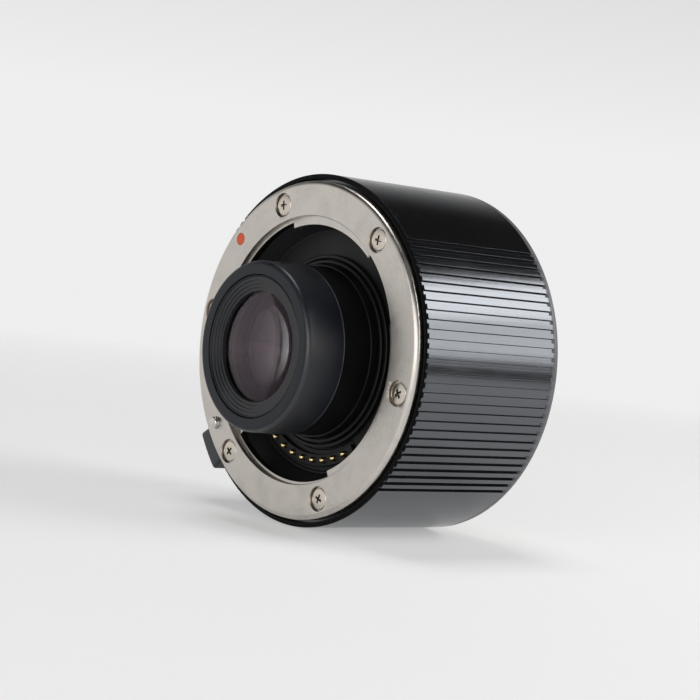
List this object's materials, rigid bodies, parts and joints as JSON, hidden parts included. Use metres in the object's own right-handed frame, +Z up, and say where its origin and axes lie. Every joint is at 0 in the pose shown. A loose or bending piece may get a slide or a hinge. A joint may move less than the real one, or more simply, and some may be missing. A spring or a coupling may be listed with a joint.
{
  "type": "camera teleconverter",
  "caption": "Short ribbed barrel with a female lens bayonet and protruding front lens cell, and a male bayonet behind; doubles a lens's focal length on a camera.",
  "frame": {"origin": "on the optical axis, in the seat of the rear flange", "axes": "+Y along the optical axis to the rear, where it leaves for the camera; the front with the nose faces -Y; +Z up; +X right, seen from the front"},
  "size_m": [0.058, 0.0448, 0.058],
  "materials": {
    "nickel": "satin nickel plate, turned",
    "screw_nickel": "bright nickel",
    "mark": "filled paint mark",
    "spring_steel": "drawn spring steel",
    "pin_steel": "ground steel",
    "inner_metal": "die-cast, bare",
    "black_metal": "satin black paint",
    "black_plastic": "moulded, matte",
    "board": "circuit board",
    "flex": "polyimide film",
    "dark_screw": "black oxide",
    "soft_grey": "soft-touch matte",
    "black_anodised": "black anodised",
    "seal": "moulded seal",
    "gold": "gold plate",
    "glass": "polished",
    "coated_glass": "polished, purple coating"
  },
  "bodies": {
    "housing": {"front_mount_ring": "nickel", "rear_mount_ring": "nickel", "front_mount_screws": "screw_nickel", "rear_mount_screws": "screw_nickel", "front_index_dot": "mark", "rear_index_dot": "mark", "bayonet_leaf_springs": "spring_steel", "lock_pin_spring": "spring_steel", "contact_springs": "spring_steel", "chassis": "inner_metal", "grip_barrel": "black_metal", "throat_liner": "black_plastic", "contact_block": "black_plastic", "rear_cover": "black_plastic", "rear_contact_block": "black_plastic", "rear_baffle": "black_plastic", "contact_board": "board", "flex_cable": "flex", "contact_block_screws": "dark_screw", "lens_barrel_screws": "dark_screw", "rear_contact_screws": "dark_screw", "nose_sleeve": "soft_grey", "front_retaining_ring": "black_anodised", "lens_barrel": "black_anodised", "rear_retaining_ring": "black_anodised", "rear_gasket": "seal", "rear_contact_pads": "gold", "lens_1": "coated_glass", "lens_2": "glass", "lens_3": "glass", "lens_4": "glass", "lens_5": "glass", "lens_6": "glass", "lens_7": "glass", "lens_8": "glass", "lens_9": "coated_glass", "spacer_1": "black_anodised", "spacer_2": "black_anodised", "spacer_3": "black_anodised", "spacer_4": "black_anodised"},
    "release_slider": {"release_button": "black_metal", "release_carrier": "inner_metal"},
    "lock_pin": {"lock_pin": "pin_steel", "lock_pin_clip": "spring_steel"},
    "contact_pin_01": {"contact_pin_01": "gold"},
    "contact_pin_02": {"contact_pin_02": "gold"},
    "contact_pin_03": {"contact_pin_03": "gold"},
    "contact_pin_04": {"contact_pin_04": "gold"},
    "contact_pin_05": {"contact_pin_05": "gold"},
    "contact_pin_06": {"contact_pin_06": "gold"},
    "contact_pin_07": {"contact_pin_07": "gold"},
    "contact_pin_08": {"contact_pin_08": "gold"},
    "contact_pin_09": {"contact_pin_09": "gold"},
    "contact_pin_10": {"contact_pin_10": "gold"}
  },
  "joints": [
    {"name": "release_slide", "type": "slide", "parent": "housing", "child": "release_slider", "axis": [0, 1, 0], "range_m": [0, 0.0012], "stiffness_N_per_m": 1200, "springref_m": -0.0015},
    {"name": "lock_pin_slide", "type": "slide", "parent": "housing", "child": "lock_pin", "axis": [0, 1, 0], "range_m": [0, 0.0012], "deforming": ["lock_pin_spring"]},
    {"name": "contact_pin_01_slide", "type": "slide", "parent": "housing", "child": "contact_pin_01", "axis": [0, 1, 0], "range_m": [0, 0.0006], "stiffness_N_per_m": 500, "springref_m": -0.0006, "deforming": ["contact_springs"]},
    {"name": "contact_pin_02_slide", "type": "slide", "parent": "housing", "child": "contact_pin_02", "axis": [0, 1, 0], "range_m": [0, 0.0006], "stiffness_N_per_m": 500, "springref_m": -0.0006, "deforming": ["contact_springs"]},
    {"name": "contact_pin_03_slide", "type": "slide", "parent": "housing", "child": "contact_pin_03", "axis": [0, 1, 0], "range_m": [0, 0.0006], "stiffness_N_per_m": 500, "springref_m": -0.0006, "deforming": ["contact_springs"]},
    {"name": "contact_pin_04_slide", "type": "slide", "parent": "housing", "child": "contact_pin_04", "axis": [0, 1, 0], "range_m": [0, 0.0006], "stiffness_N_per_m": 500, "springref_m": -0.0006, "deforming": ["contact_springs"]},
    {"name": "contact_pin_05_slide", "type": "slide", "parent": "housing", "child": "contact_pin_05", "axis": [0, 1, 0], "range_m": [0, 0.0006], "stiffness_N_per_m": 500, "springref_m": -0.0006, "deforming": ["contact_springs"]},
    {"name": "contact_pin_06_slide", "type": "slide", "parent": "housing", "child": "contact_pin_06", "axis": [0, 1, 0], "range_m": [0, 0.0006], "stiffness_N_per_m": 500, "springref_m": -0.0006, "deforming": ["contact_springs"]},
    {"name": "contact_pin_07_slide", "type": "slide", "parent": "housing", "child": "contact_pin_07", "axis": [0, 1, 0], "range_m": [0, 0.0006], "stiffness_N_per_m": 500, "springref_m": -0.0006, "deforming": ["contact_springs"]},
    {"name": "contact_pin_08_slide", "type": "slide", "parent": "housing", "child": "contact_pin_08", "axis": [0, 1, 0], "range_m": [0, 0.0006], "stiffness_N_per_m": 500, "springref_m": -0.0006, "deforming": ["contact_springs"]},
    {"name": "contact_pin_09_slide", "type": "slide", "parent": "housing", "child": "contact_pin_09", "axis": [0, 1, 0], "range_m": [0, 0.0006], "stiffness_N_per_m": 500, "springref_m": -0.0006, "deforming": ["contact_springs"]},
    {"name": "contact_pin_10_slide", "type": "slide", "parent": "housing", "child": "contact_pin_10", "axis": [0, 1, 0], "range_m": [0, 0.0006], "stiffness_N_per_m": 500, "springref_m": -0.0006, "deforming": ["contact_springs"]}
  ],
  "couplings": [
    {"joint": "lock_pin_slide", "follows": "release_slide", "ratio": 1}
  ]
}
